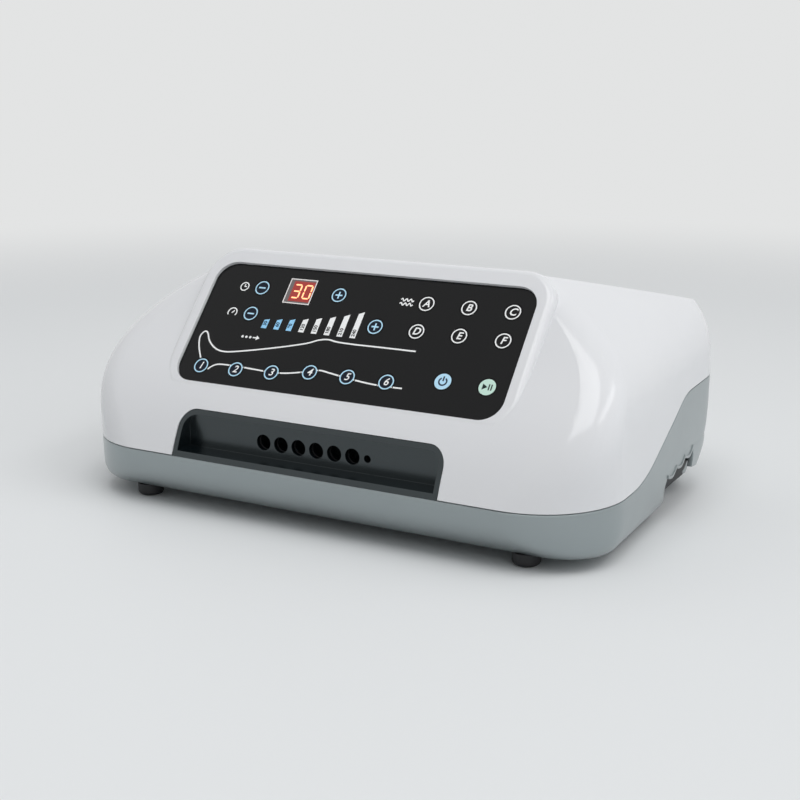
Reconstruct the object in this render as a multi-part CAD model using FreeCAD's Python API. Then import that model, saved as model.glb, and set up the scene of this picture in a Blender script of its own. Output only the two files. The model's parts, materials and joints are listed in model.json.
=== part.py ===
import FreeCAD, Part
import math
import os

# Air compression therapy pump: a table-top housing in two moulded shells, with a sloping
# control panel, a recess with six air outlets in front, and the pump, valves, boards and
# fan inside. Millimetres. Front is -Y, up is +Z, and the origin is on the table, under
# the middle of the housing.

V = FreeCAD.Vector
X_AXIS = V(1, 0, 0)
Y_AXIS = V(0, 1, 0)
Z_AXIS = V(0, 0, 1)
os.makedirs("parts", exist_ok=True)

# ---------------------------------------------------------------- driving dimensions

WALL = 2.6

# The seam between the shells is low at the front and rises in an S along each side.
SEAM_FRONT_Z = 37.5
SEAM_SHOULDER_Z = 76.0
SEAM_REAR_Z = 80.0
SEAM_GROOVE = 0.6
LIP_HEIGHT = 3.0
LIP_OUTSIDE = 1.3

# The underside is this high above the table, on four feet.
FLOOR_Z = 8.0

# The roof falls towards the rear from the ridge behind the panel.
RIDGE_Y = -26.0
RIDGE_Z = 154.5
ROOF_FALL = 13.2

# The sloping face, with the glossy overlay set into a raised frame.
FACE_TILT = 48.42
FACE_CENTRE = V(0, -69.0, 113.7)
PANEL_WIDTH = 232.0
PANEL_HEIGHT = 91.2
PANEL_CORNER = 14.0
FRAME_HALF_WIDTH = 126.0
FRAME_LOW = -58.0
FRAME_HIGH = 59.0
FRAME_RISE = 2.0
FRAME_BAND_TOP = -45.6
FRAME_BAND_FALL = 7.5
OVERLAY_THICKNESS = 1.6
WINDOW_LEDGE = 4.0
LEDGE_BACK = -4.5

# Keys on the face, as distances right of and above the middle of the overlay.
KEY_PLACES = {
    "key_time_minus": (-77.7, 28.6),
    "key_time_plus": (-19.1, 28.6),
    "key_pressure_minus": (-78.2, 8.7),
    "key_pressure_plus": (14.8, 8.7),
    "key_mode_a": (43.8, 28.5),
    "key_mode_b": (72.7, 28.5),
    "key_mode_c": (101.6, 28.5),
    "key_mode_d": (43.8, 8.6),
    "key_mode_e": (72.7, 8.6),
    "key_mode_f": (101.6, 8.6),
    "key_zone_1": (-98.6, -33.1),
    "key_zone_2": (-71.9, -32.7),
    "key_zone_3": (-45.0, -31.6),
    "key_zone_4": (-18.0, -28.1),
    "key_zone_5": (9.0, -28.0),
    "key_zone_6": (36.3, -28.0),
    "key_power": (72.7, -22.9),
    "key_play_pause": (101.6, -22.9),
}
KEY_RADIUS = 5.9
KEY_GAP = 0.25
KEY_TRAVEL = 0.5
KEY_FLANGE_RADIUS = 6.8
KEY_FLANGE_THICKNESS = 1.0
KEY_STEM_RADIUS = 2.0
KEY_STEM_END = -7.65
KEY_FRAME_TOP = -4.0
KEY_FRAME_THICKNESS = 1.6
SWITCH_TOP = -8.2
SWITCH_SIZE = 6.0
BOARD_TOP = -10.0
BOARD_THICKNESS = 1.6
PANEL_BOARD_HALF_WIDTH = 107.0
PANEL_BOARD_HALF_HEIGHT = 39.0
FRAME_POSTS = [(-106.0, 36.0), (106.0, 36.0), (-106.0, -24.0), (106.0, -37.0), (30.0, -9.0), (-32.0, -8.0)]
DISPLAY_PLACE = (-48.4, 28.6)
DISPLAY_WIDTH = 20.5
DISPLAY_HEIGHT = 19.0

# Recess with the air outlets, in the front of the upper shell.
RECESS_X = -3.7
RECESS_HALF_WIDTH = 94.5
RECESS_TOP_Z = 66.3
RECESS_CORNER = 12.0
RECESS_WALL_Y = -110.0
RECESS_RIM = 3.5
RECESS_PLATE = 3.0
PORT_COUNT = 6
PORT_FIRST_X = -38.2
PORT_PITCH = 12.76
PORT_RADIUS = 5.0
PORT_DEPTH = 15.0
PORT_Z = 50.4
KEYWAY_RADIUS = 2.3
KEYWAY_X = 36.0
SEAL_WIDTH = 1.2
SEAL_DEPTH = 1.5

# Openings low in the side walls. The wall's edge rises over each of them in three scallops
# with a raised rim, and an air grille stands behind it.
VENT_FRONT_Y = 7.9
VENT_REAR_Y = 58.8
VENT_FRONT_Z = 28.4
VENT_REAR_Z = 35.5
VENT_SCALLOPS = 3
# One scallop: fraction of the way to the next tip, and depth below the line between the tips.
SCALLOP = [(0.0, 0.0), (0.1, 1.3), (0.3, 2.6), (0.58, 3.6), (0.78, 2.4), (1.0, 0.0)]
VENT_RIM = 1.8
VENT_RIM_RISE = 0.6
# The opening's front and rear edges, as (y, z) points from the top down.
VENT_FRONT_EDGE = [(4.6, 22.6), (6.5, 16.5), (14.0, 8.0), (20.0, -5.0)]
VENT_REAR_EDGE = [(61.3, 30.8), (63.8, 20.6), (112.0, 12.2), (112.0, -5.0)]
VENT_MOUTH_FRONT_Y = 14.0
VENT_MOUTH_REAR_Y = 84.0
VENT_PLATE_X = 168.8
VENT_PLATE = 2.6
VENT_POCKET_FRONT_Y = 2.0
VENT_POCKET_REAR_Y = 102.0
VENT_POCKET_TOP = 38.0
VENT_SLOTS = 8
VENT_SLOT_PITCH = 11.0
VENT_SLOT_WIDTH = 6.0
VENT_SLOT_LOW = 18.0
VENT_SLOT_HIGH = 33.0

# Flat field in the rear wall for the fan, the mains inlet and the power switch.
REAR_FIELD_Y = 119.0
REAR_FIELD_HALF_WIDTH = 118.0
REAR_FIELD_LOW = 16.0
REAR_FIELD_HIGH = 72.0
REAR_FIELD_CORNER = 6.0
FAN_X = -72.0
FAN_Z = 44.0
FAN_SIZE = 50.0
FAN_DEPTH = 15.0
FAN_BORE = 23.5
FAN_BACK_Y = REAR_FIELD_Y - WALL
FAN_FRONT_Y = FAN_BACK_Y - FAN_DEPTH
FAN_HUB = 9.0
FAN_BLADES = 7
FAN_SLOT_PITCH = 6.0
FAN_SLOT_HALF = 1.6
INLET_X = 84.0
INLET_Z = 44.0
INLET_HALF_WIDTH = 13.8
INLET_HALF_HEIGHT = 10.2
INLET_DEPTH = 20.0
ROCKER_X = 52.0
ROCKER_HALF_WIDTH = 6.7
ROCKER_HALF_HEIGHT = 9.7
ROCKER_DEPTH = 17.0
ROCKER_PIVOT = V(ROCKER_X, REAR_FIELD_Y - 6, INLET_Z)
ROCKER_REST_TILT = 7.0

FRONT_FOOT = (136.0, -101.0)
REAR_FOOT = (150.0, 84.0)
FOOT_RADIUS = 8.5
POST_PLACES = [(158.0, -62.0), (-158.0, -62.0), (154.0, 56.0), (-154.0, 56.0)]
POST_JOINT_Z = 36.0
UPPER_POST_RADIUS = 4.5
LOWER_POST_RADIUS = 5.5
SCREW_SEAT_Z = 20.0
SCREW_RADIUS = 1.45
SCREW_HEAD_RADIUS = 3.6
FOOT_PEG = 2.6
BOARD_Z = 22.0
BOARD_POST_RADIUS = 4.0
BOARD_SCREW_RADIUS = 1.25
POWER_BOARD = (46.0, 142.0, 16.0, 94.0)
BOARD_POSTS = [(52.0, 22.0), (136.0, 22.0), (52.0, 88.0), (136.0, 88.0)]

# Manifold behind the recess, valve block behind that, and the tubes between them.
MANIFOLD_BACK_Y = -89.0
BARB_RADIUS = 2.0
BARB_LENGTH = 6.0
AIR_BORE = 1.0
TUBE_RADIUS = 3.3
TUBE_RUN = 12.0
TUBE_BEND = 15.0
VALVE_FRONT_Y = -46.0
VALVE_REAR_Y = -22.0
VALVE_Y = (VALVE_FRONT_Y + VALVE_REAR_Y) / 2
VALVE_MARGIN = 12.0
VALVE_LOW_Z = 42.0
VALVE_TOP_Z = 58.0
VALVE_MIDDLE_X = -6.3
VALVE_PITCH = 19.0
COIL_RADIUS = 8.0
COIL_TOP_Z = 84.0
PLUNGER_RADIUS = 2.9
PLUNGER_LENGTH = 24.0
PLUNGER_WELL = 3.2
WELL_DEPTH = 6.0
VALVE_POSTS = [(-60.0, -34.0), (47.0, -34.0)]

# Linear pump with a head at each end, on four rubber mounts.
PUMP_X0 = -130.0
PUMP_X1 = -30.0
PUMP_Y0 = 5.0
PUMP_Y1 = 65.0
PUMP_Z0 = 22.0
PUMP_Z1 = 72.0
PUMP_X = (PUMP_X0 + PUMP_X1) / 2
PUMP_WALL = 3.0
PUMP_COVER = 2.5
PUMP_HEAD = 16.0
PUMP_HEAD_HALF = 20.0
PUMP_ROD_RADIUS = 3.0
PISTON_RADIUS = 12.0
MAGNET_HALF_SIZES = (25.0, 5.0, 9.0)
MOUNT_PLACES = [(-118.0, 14.0), (-118.0, 56.0), (-42.0, 14.0), (-42.0, 56.0)]
MOUNT_RADIUS = 7.5
MOUNT_WAIST_RADIUS = 6.0
PUMP_AXIS_Y = 35.0
PUMP_AXIS_Z = 47.0
SUPPLY_Z = 50.0
SUPPLY_BARB = 2.5
SUPPLY_TUBE = 4.0
SUPPLY_BEND = 20.0


# ---------------------------------------------------------------- helpers

def rounded_wire(corners, radii):
    """Closed flat wire through the corners, each rounded by its own radius."""
    count = len(corners)
    turns = []
    for i in range(count):
        corner = corners[i]
        before = (corners[i - 1] - corner).normalize()
        after = (corners[(i + 1) % count] - corner).normalize()
        half = before.getAngle(after) / 2
        reach = radii[i] / math.tan(half)
        bulge = radii[i] / math.sin(half) - radii[i]
        middle = (before + after).normalize()
        turns.append((corner + before * reach, corner + middle * bulge, corner + after * reach))
    edges = []
    for i in range(count):
        start, middle, end = turns[i]
        if radii[i] > 0:
            edges.append(Part.Arc(start, middle, end).toShape())
        edges.append(Part.LineSegment(end, turns[(i + 1) % count][0]).toShape())
    return Part.Wire(edges)


def prism(corners, radii, travel):
    """Solid swept straight along travel from a rounded flat outline."""
    return Part.Face(rounded_wire(corners, radii)).extrude(travel)


def box(x0, x1, y0, y1, z0, z1):
    return Part.makeBox(x1 - x0, y1 - y0, z1 - z0, V(x0, y0, z0))


def rounded_box(x0, x1, y0, y1, z0, z1, radius):
    """Box with its four upright edges rounded."""
    corners = [V(x0, y0, z0), V(x1, y0, z0), V(x1, y1, z0), V(x0, y1, z0)]
    return prism(corners, [radius] * 4, Z_AXIS * (z1 - z0))


def across(points, radii, half_width=250.0):
    """Solid with the same Y-Z profile over the whole width."""
    corners = [V(-half_width, y, z) for y, z in points]
    return prism(corners, radii, X_AXIS * (2 * half_width))


def rod(radius, start, end):
    return Part.makeCylinder(radius, (end - start).Length, start, end - start)


def tube(outer, inner, start, end):
    return rod(outer, start, end).cut(rod(inner, start, end))


def joined(shapes):
    first = shapes[0]
    return first.fuse(shapes[1:]).removeSplitter() if len(shapes) > 1 else first


def export(name, *solids):
    shape = solids[0] if len(solids) == 1 else Part.makeCompound(list(solids))
    shape.exportStep("parts/" + name + ".step")
    print(name, len(shape.Solids), shape.isValid(), round(shape.Volume))


# ---------------------------------------------------------------- the sloping face's own frame

tilt = math.radians(FACE_TILT)
UP_FACE = V(0, math.cos(tilt), math.sin(tilt))
OUT_FACE = V(0, -math.sin(tilt), math.cos(tilt))


def on_face(u, v, height=0.0):
    """Point u right of and v above the middle of the overlay, and height out of its plane."""
    return FACE_CENTRE + X_AXIS * u + UP_FACE * v + OUT_FACE * height


def face_block(u0, u1, v0, v1, low, high, radii=(0, 0, 0, 0)):
    corners = [on_face(u0, v0, low), on_face(u1, v0, low), on_face(u1, v1, low), on_face(u0, v1, low)]
    return prism(corners, list(radii), OUT_FACE * (high - low))


def face_rod(radius, place, low, high):
    return rod(radius, on_face(place[0], place[1], low), on_face(place[0], place[1], high))


# ---------------------------------------------------------------- outer form of the housing

# Horizontal outlines from the seam up past the ridge: height, front Y, half-width at the
# front and at the rear, corner radius at the front and at the rear.
UPPER_OUTLINES = [
    (SEAM_FRONT_Z, -126.0, 123.5, 184.0, 181.6, 55.0, 45.0),
    (65.0, -112.4, 126.0, 183.6, 182.8, 34.0, 45.0),
    (87.0, -94.9, 125.8, 182.0, 182.5, 23.0, 43.0),
    (105.0, -76.4, 125.8, 175.0, 180.5, 20.0, 40.0),
    (124.0, -57.5, 124.5, 156.5, 171.5, 18.0, 36.0),
    (142.0, -39.5, 121.0, 128.5, 153.0, 16.0, 30.0),
    (162.0, -19.8, 116.0, 95.0, 126.0, 14.0, 24.0),
]
# The same from the underside up to the seam: the base rolls under at the front.
BASE_OUTLINES = [
    (FLOOR_Z, -107.3, 106.0, 179.7, 175.0, 31.0, 38.0),
    (12.0, -113.9, 110.0, 182.6, 177.2, 37.5, 39.5),
    (17.0, -119.1, 113.0, 184.0, 178.8, 44.5, 41.0),
    (26.0, -124.1, 118.5, 184.0, 181.0, 52.0, 43.0),
    (SEAM_FRONT_Z, -126.0, 123.5, 184.0, 181.6, 55.0, 45.0),
]


def outline(z, front, rear, half_front, half_rear, radius_front, radius_rear):
    corners = [V(-half_front, front, z), V(half_front, front, z),
               V(half_rear, rear, z), V(-half_rear, rear, z)]
    return rounded_wire(corners, [radius_front, radius_front, radius_rear, radius_rear])


def housing_form(inset):
    """The housing as a solid, drawn in by inset on every side."""
    upper = []
    for z, front, rear, half_front, half_rear, radius_front, radius_rear in UPPER_OUTLINES:
        upper.append(outline(z, front + 1.2 * inset, rear - inset, half_front - 1.1 * inset,
                             half_rear - 1.1 * inset, radius_front - inset, radius_rear - inset))
    base = []
    for z, front, rear, half_front, half_rear, radius_front, radius_rear in BASE_OUTLINES:
        lift = inset * (SEAM_FRONT_Z - z) / (SEAM_FRONT_Z - FLOOR_Z)
        base.append(outline(z + lift, front + 1.2 * inset, rear - inset, half_front - 1.1 * inset,
                            half_rear - 1.1 * inset, radius_front - inset, radius_rear - inset))
    fall = math.tan(math.radians(ROOF_FALL))
    far = 200.0
    roof_front = RIDGE_Z - inset + (far + RIDGE_Y) * fall
    roof_rear = RIDGE_Z - inset - (far - RIDGE_Y) * fall
    above_roof = across([(-far, roof_front), (far, roof_rear), (far, 300), (-far, 300)], [0, 0, 0, 0])
    top = Part.makeLoft(upper, True, False).cut(above_roof)
    return top.fuse(Part.makeLoft(base, True, False))


def above_seam(lift):
    """Everything above the seam, which runs flat, then up in an S, then nearly flat."""
    points = [(-200, SEAM_FRONT_Z + lift), (-38, SEAM_FRONT_Z + lift), (38, SEAM_SHOULDER_Z + lift),
              (200, SEAM_REAR_Z + lift), (200, 300), (-200, 300)]
    return across(points, [0, 83, 45, 0, 0, 0])


def recess_block(rim, y_front, y_back, low):
    """Block with the recess's outline as seen from the front, drawn in by rim."""
    left = RECESS_X - RECESS_HALF_WIDTH + rim
    right = RECESS_X + RECESS_HALF_WIDTH - rim
    top = RECESS_TOP_Z - rim
    corners = [V(left, y_front, low), V(right, y_front, low), V(right, y_front, top), V(left, y_front, top)]
    return prism(corners, [0, 0, RECESS_CORNER - rim, RECESS_CORNER - rim], Y_AXIS * (y_back - y_front))


def rear_field(inset, y_front, y_back):
    half = REAR_FIELD_HALF_WIDTH - inset
    low = REAR_FIELD_LOW + inset
    high = REAR_FIELD_HIGH - inset
    corners = [V(-half, y_front, low), V(half, y_front, low), V(half, y_front, high), V(-half, y_front, high)]
    return prism(corners, [REAR_FIELD_CORNER] * 4, Y_AXIS * (y_back - y_front))


def port_x(index):
    return PORT_FIRST_X + index * PORT_PITCH


def key_board_block(margin, low, high, corner=6.0):
    half_u = PANEL_WIDTH / 2 - margin
    half_v = PANEL_HEIGHT / 2 - margin
    return face_block(-half_u, half_u, -half_v, half_v, low, high, [corner] * 4)


# ---------------------------------------------------------------- the two shells

form = housing_form(0)
cavity = housing_form(WALL)

# The rear field is flat, so it stands out of the rolled wall below and is sunk into it above.
form = form.cut(rear_field(0, REAR_FIELD_Y, 150)).fuse(rear_field(0, 95, REAR_FIELD_Y))
cavity = cavity.cut(rear_field(-WALL, REAR_FIELD_Y - WALL, 150))
cavity = cavity.fuse(rear_field(WALL, 90, REAR_FIELD_Y - WALL))

# The face is thicker round the window, where the ledge carries the overlay.
cavity = cavity.cut(key_board_block(-5, LEDGE_BACK, 5))


def raised_frame():
    """Frame round the panel: rounded over at the top and sides, and falling into the front below."""
    block = face_block(-FRAME_HALF_WIDTH, FRAME_HALF_WIDTH, FRAME_LOW, FRAME_HIGH, -22, FRAME_RISE,
                       (30, 30, 24, 24))
    rounded = []
    for edge in block.Edges:
        heights = [(point.Point - FACE_CENTRE).dot(OUT_FACE) for point in edge.Vertexes]
        if min(heights) > FRAME_RISE - 0.01 and edge.BoundBox.ZMax > FACE_CENTRE.z - 20:
            rounded.append(edge)
    block = block.makeFillet(5.0, rounded)
    hinge = on_face(0, FRAME_BAND_TOP, FRAME_RISE)
    above = face_block(-200, 200, FRAME_BAND_TOP - 40, FRAME_BAND_TOP, FRAME_RISE, FRAME_RISE + 20)
    return block.cut(above.rotate(hinge, X_AXIS, FRAME_BAND_FALL))


def screw_posts(top, radius, low):
    return [rod(radius, V(x, y, low), V(x, y, top)) for x, y in POST_PLACES]


def scallop_points(index):
    """Points (y, z) along the edge of one scallop, from its front tip to its rear tip."""
    run = (VENT_REAR_Y - VENT_FRONT_Y) / VENT_SCALLOPS
    rise = (VENT_REAR_Z - VENT_FRONT_Z) / VENT_SCALLOPS
    return [(VENT_FRONT_Y + (index + part) * run, VENT_FRONT_Z + (index + part) * rise - drop)
            for part, drop in SCALLOP]


def smooth_edge(points):
    curve = Part.BSplineCurve()
    curve.interpolate(points)
    return curve.toShape()


def vent_opening(side):
    """Cut through the side wall: three scallops over a gap that is open at the bottom."""
    start = side * VENT_PLATE_X
    edges = [smooth_edge([V(start, y, z) for y, z in scallop_points(i)]) for i in range(VENT_SCALLOPS)]
    corners = [(VENT_REAR_Y, VENT_REAR_Z)] + VENT_REAR_EDGE
    corners += VENT_FRONT_EDGE[::-1] + [(VENT_FRONT_Y, VENT_FRONT_Z)]
    ends = [V(start, y, z) for y, z in corners]
    edges += [Part.LineSegment(a, b).toShape() for a, b in zip(ends, ends[1:])]
    return Part.Face(Part.Wire(edges)).extrude(X_AXIS * (side * 40))


def vent_rims():
    """Rims that stand out of both side walls along the scallops' edges."""
    rims = []
    for side in (-1, 1):
        for index in range(VENT_SCALLOPS):
            points = [V(side * 150, y, z) for y, z in scallop_points(index)]
            raised = [point + Z_AXIS * VENT_RIM for point in points]
            rear_end = Part.LineSegment(points[-1], raised[-1]).toShape()
            front_end = Part.LineSegment(raised[0], points[0]).toShape()
            wire = Part.Wire([smooth_edge(points), rear_end, smooth_edge(raised), front_end])
            rims.append(Part.Face(wire).extrude(X_AXIS * (side * 60)))
    return [rim.common(housing_form(-VENT_RIM_RISE)) for rim in rims]


def vent_mouth(side, reach, low, high):
    """Block through the floor under the opening, outwards from the back of the grille's plate."""
    near = side * (VENT_PLATE_X - VENT_PLATE)
    return Part.makeBox(reach, VENT_MOUTH_REAR_Y - VENT_MOUTH_FRONT_Y, high - low,
                        V(min(near, near + side * reach), VENT_MOUTH_FRONT_Y, low))


def vent_space(side, grow, low, high):
    """Block behind the opening in the side wall, from the grille's plate outwards."""
    length = 40.0 + grow
    x0 = VENT_PLATE_X - grow if side > 0 else -VENT_PLATE_X + grow - length
    return Part.makeBox(length, VENT_POCKET_REAR_Y - VENT_POCKET_FRONT_Y + 2 * grow, high - low,
                        V(x0, VENT_POCKET_FRONT_Y - grow, low))


def make_upper_shell():
    shell = form.fuse(raised_frame()).cut(cavity).common(above_seam(SEAM_GROOVE))
    shell = shell.cut(key_board_block(0, -OVERLAY_THICKNESS, 8, PANEL_CORNER))
    shell = shell.cut(key_board_block(WINDOW_LEDGE, -30, 0))
    shell = shell.cut(recess_block(0, -150, -90, 30))
    relief = housing_form(LIP_OUTSIDE - 0.15).common(above_seam(-1)).cut(above_seam(LIP_HEIGHT + 0.3))
    shell = shell.cut(relief)
    posts = [post.common(form) for post in screw_posts(170, UPPER_POST_RADIUS, POST_JOINT_Z)]
    shell = shell.fuse(posts)
    for x, y in POST_PLACES:
        shell = shell.cut(rod(SCREW_RADIUS + 0.05, V(x, y, POST_JOINT_Z - 1), V(x, y, POST_JOINT_Z + 18)))
    return shell


def make_lower_shell():
    shell = form.fuse(vent_rims()).cut(cavity).cut(above_seam(0))
    lip = housing_form(LIP_OUTSIDE).cut(cavity).common(above_seam(-2)).cut(above_seam(LIP_HEIGHT))
    shell = shell.fuse(lip)
    shell = shell.cut(recess_block(-0.4, -150, -90, SEAM_FRONT_Z))
    shell = shell.fuse(screw_posts(POST_JOINT_Z, LOWER_POST_RADIUS, FLOOR_Z))
    for x, y in POST_PLACES:
        shell = shell.cut(rod(SCREW_HEAD_RADIUS + 0.6, V(x, y, 0), V(x, y, SCREW_SEAT_Z)))
        shell = shell.cut(rod(SCREW_RADIUS + 0.55, V(x, y, 0), V(x, y, POST_JOINT_Z + 1)))
    for x, y in BOARD_POSTS:
        shell = shell.fuse(rod(BOARD_POST_RADIUS, V(x, y, FLOOR_Z + 1), V(x, y, BOARD_Z)))
        shell = shell.cut(rod(BOARD_SCREW_RADIUS + 0.05, V(x, y, FLOOR_Z + 4), V(x, y, BOARD_Z + 1)))
    for x, y in foot_places():
        shell = shell.cut(rod(FOOT_PEG + 0.05, V(x, y, 0), V(x, y, FLOOR_Z + WALL + 1)))
    for x, y in VALVE_POSTS:
        shell = shell.fuse(rod(BOARD_POST_RADIUS, V(x, y, FLOOR_Z + 1), V(x, y, VALVE_LOW_Z)))
    for side in (-1, 1):
        shell = shell.cut(vent_opening(side))
        shell = shell.cut(vent_mouth(side, 40, FLOOR_Z - 2, FLOOR_Z + WALL))
    return cut_rear_openings(shell)


def foot_places():
    return [(sign * x, y) for x, y in (FRONT_FOOT, REAR_FOOT) for sign in (-1, 1)]


def cut_rear_openings(shell):
    """Fan slots inside a circle, the mains inlet's hole and the power switch's hole."""
    reach = FAN_BORE - 1.0
    for i in range(-3, 4):
        x = FAN_X + i * FAN_SLOT_PITCH
        tall = math.sqrt(reach ** 2 - (abs(i) * FAN_SLOT_PITCH + FAN_SLOT_HALF) ** 2)
        slot = rounded_slot(x, FAN_SLOT_HALF, FAN_Z - tall, FAN_Z + tall)
        shell = shell.cut(slot)
    inlet = box(INLET_X - INLET_HALF_WIDTH, INLET_X + INLET_HALF_WIDTH, 100, 140,
                INLET_Z - INLET_HALF_HEIGHT, INLET_Z + INLET_HALF_HEIGHT)
    rocker = box(ROCKER_X - ROCKER_HALF_WIDTH, ROCKER_X + ROCKER_HALF_WIDTH, 100, 140,
                 INLET_Z - ROCKER_HALF_HEIGHT, INLET_Z + ROCKER_HALF_HEIGHT)
    return shell.cut(inlet).cut(rocker)


def rounded_slot(x, half, low, high):
    corners = [V(x - half, 100, low), V(x + half, 100, low), V(x + half, 100, high), V(x - half, 100, high)]
    return prism(corners, [half * 0.95] * 4, Y_AXIS * 40)


upper_shell = make_upper_shell()
export("upper_shell", upper_shell)
lower_shell = make_lower_shell()
export("lower_shell", lower_shell)


# ---------------------------------------------------------------- recess and vents

def make_port_recess():
    body = housing_form(0.4).common(recess_block(0.3, -150, RECESS_WALL_Y + RECESS_PLATE, SEAM_FRONT_Z))
    body = body.cut(recess_block(RECESS_RIM, -150, RECESS_WALL_Y, SEAM_FRONT_Z + RECESS_RIM))
    for i in range(PORT_COUNT):
        body = body.cut(rod(PORT_RADIUS, V(port_x(i), -140, PORT_Z), V(port_x(i), -90, PORT_Z)))
    return body.cut(rod(KEYWAY_RADIUS, V(KEYWAY_X, -140, PORT_Z), V(KEYWAY_X, -90, PORT_Z)))


def make_side_vent(side):
    """Pocket behind the opening, with slots in its upright plate."""
    low = FLOOR_Z + WALL
    walls = vent_space(side, VENT_PLATE, low, VENT_POCKET_TOP + VENT_PLATE)
    walls = walls.cut(vent_space(side, 0, low - 1, VENT_POCKET_TOP))
    walls = walls.common(housing_form(WALL + 0.05)).fuse(vent_mouth(side, VENT_PLATE, FLOOR_Z, low + 0.1))
    for i in range(VENT_SLOTS):
        y = VENT_POCKET_FRONT_Y + 9 + i * VENT_SLOT_PITCH
        start = V(side * (VENT_PLATE_X - 6), y, VENT_SLOT_LOW)
        wide = Y_AXIS * VENT_SLOT_WIDTH
        tall = Z_AXIS * (VENT_SLOT_HIGH - VENT_SLOT_LOW)
        corners = [start, start + wide, start + wide + tall, start + tall]
        walls = walls.cut(prism(corners, [VENT_SLOT_WIDTH / 2 - 0.1] * 4, X_AXIS * (side * 8)))
    return walls


export("port_recess", make_port_recess())
export("side_vent_left", make_side_vent(-1))
export("side_vent_right", make_side_vent(1))


# ---------------------------------------------------------------- panel and keys

def around_display(grow, low, high):
    u, v = DISPLAY_PLACE
    half_u = DISPLAY_WIDTH / 2 + grow
    half_v = DISPLAY_HEIGHT / 2 + grow
    return face_block(u - half_u, u + half_u, v - half_v, v + half_v, low, high)


def make_panel_overlay():
    plate = key_board_block(0.2, -OVERLAY_THICKNESS, 0, PANEL_CORNER - 0.2)
    for place in KEY_PLACES.values():
        plate = plate.cut(face_rod(KEY_RADIUS + KEY_GAP, place, -OVERLAY_THICKNESS - 1, 1))
    return plate.cut(around_display(0, -OVERLAY_THICKNESS - 1, 1))


def make_key(place):
    """Cap in the overlay's hole, flange that stops it from inside, and stem over its switch."""
    flange_top = -OVERLAY_THICKNESS - 0.1
    cap = face_rod(KEY_RADIUS, place, flange_top, 0)
    flange = face_rod(KEY_FLANGE_RADIUS, place, flange_top - KEY_FLANGE_THICKNESS, flange_top)
    stem = face_rod(KEY_STEM_RADIUS, place, KEY_STEM_END, flange_top - KEY_FLANGE_THICKNESS)
    return joined([cap, flange, stem])


def make_key_frame():
    """Tray under the overlay: guides the stems, and spaces the board by its posts."""
    low = KEY_FRAME_TOP - KEY_FRAME_THICKNESS
    rim = 1.2
    tray = key_board_block(WINDOW_LEDGE + 0.2, low, -OVERLAY_THICKNESS, 5.8)
    tray = tray.cut(key_board_block(WINDOW_LEDGE + 0.2 + rim, KEY_FRAME_TOP, 1, 5.8 - rim))
    for place in KEY_PLACES.values():
        tray = tray.cut(face_rod(KEY_STEM_RADIUS + 0.4, place, low - 1, 0))
    tray = tray.cut(around_display(0.4, low - 1, 0))
    return joined([tray] + [face_rod(2.5, place, BOARD_TOP, low) for place in FRAME_POSTS])


def make_tact_switch(place):
    u, v = place
    half = SWITCH_SIZE / 2
    base = face_block(u - half, u + half, v - half, v + half, BOARD_TOP, SWITCH_TOP - 0.6)
    return joined([base, face_rod(1.7, place, SWITCH_TOP - 0.6, SWITCH_TOP)])


export("panel_overlay", make_panel_overlay())
for key_name, key_place in KEY_PLACES.items():
    export(key_name, make_key(key_place))
export("key_frame", make_key_frame())
export("panel_board", face_block(-PANEL_BOARD_HALF_WIDTH, PANEL_BOARD_HALF_WIDTH, -PANEL_BOARD_HALF_HEIGHT,
                                 PANEL_BOARD_HALF_HEIGHT, BOARD_TOP - BOARD_THICKNESS, BOARD_TOP, [3] * 4))
export("tact_switches", *[make_tact_switch(place) for place in KEY_PLACES.values()])
export("display_window", around_display(-0.15, -OVERLAY_THICKNESS, -0.1))
export("display_module", around_display(-0.3, BOARD_TOP, -OVERLAY_THICKNESS))


# ---------------------------------------------------------------- air path

def valve_x(index):
    return VALVE_MIDDLE_X + (index - (PORT_COUNT - 1) / 2) * VALVE_PITCH


def bent_tube(points, bend, outer, inner):
    """Tube along straight runs in one plane, joined by tangent arcs."""
    edges = []
    start = points[0]
    for i in range(1, len(points) - 1):
        corner = points[i]
        before = (points[i - 1] - corner).normalize()
        after = (points[i + 1] - corner).normalize()
        half = before.getAngle(after) / 2
        reach = bend / math.tan(half)
        middle = corner + (before + after).normalize() * (bend / math.sin(half) - bend)
        edges.append(Part.LineSegment(start, corner + before * reach).toShape())
        edges.append(Part.Arc(corner + before * reach, middle, corner + after * reach).toShape())
        start = corner + after * reach
    edges.append(Part.LineSegment(start, points[-1]).toShape())
    path = Part.Wire(edges)
    swept = []
    for radius in (outer, inner):
        ring = Part.Wire(Part.makeCircle(radius, points[0], points[1] - points[0]))
        swept.append(path.makePipeShell([ring], True, False))
    return swept[0].cut(swept[1])


def make_outlet_manifold():
    plate_back = RECESS_WALL_Y + RECESS_PLATE
    block = box(port_x(0) - 10, KEYWAY_X + 6, plate_back, MANIFOLD_BACK_Y, PORT_Z - 7.5, PORT_Z + 7.5)
    bore_end = RECESS_WALL_Y + PORT_DEPTH
    for i in range(PORT_COUNT):
        x = port_x(i)
        back = V(x, MANIFOLD_BACK_Y, PORT_Z)
        block = block.fuse(rod(BARB_RADIUS, back, back + Y_AXIS * BARB_LENGTH))
        front = V(x, plate_back - 1, PORT_Z)
        block = block.cut(rod(PORT_RADIUS, front, V(x, bore_end, PORT_Z)))
        block = block.cut(rod(PORT_RADIUS + SEAL_WIDTH, front, V(x, plate_back + SEAL_DEPTH, PORT_Z)))
        block = block.cut(rod(AIR_BORE, V(x, bore_end - 1, PORT_Z), back + Y_AXIS * (BARB_LENGTH + 1)))
    return block.cut(rod(KEYWAY_RADIUS, V(KEYWAY_X, plate_back - 1, PORT_Z), V(KEYWAY_X, bore_end, PORT_Z)))


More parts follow.
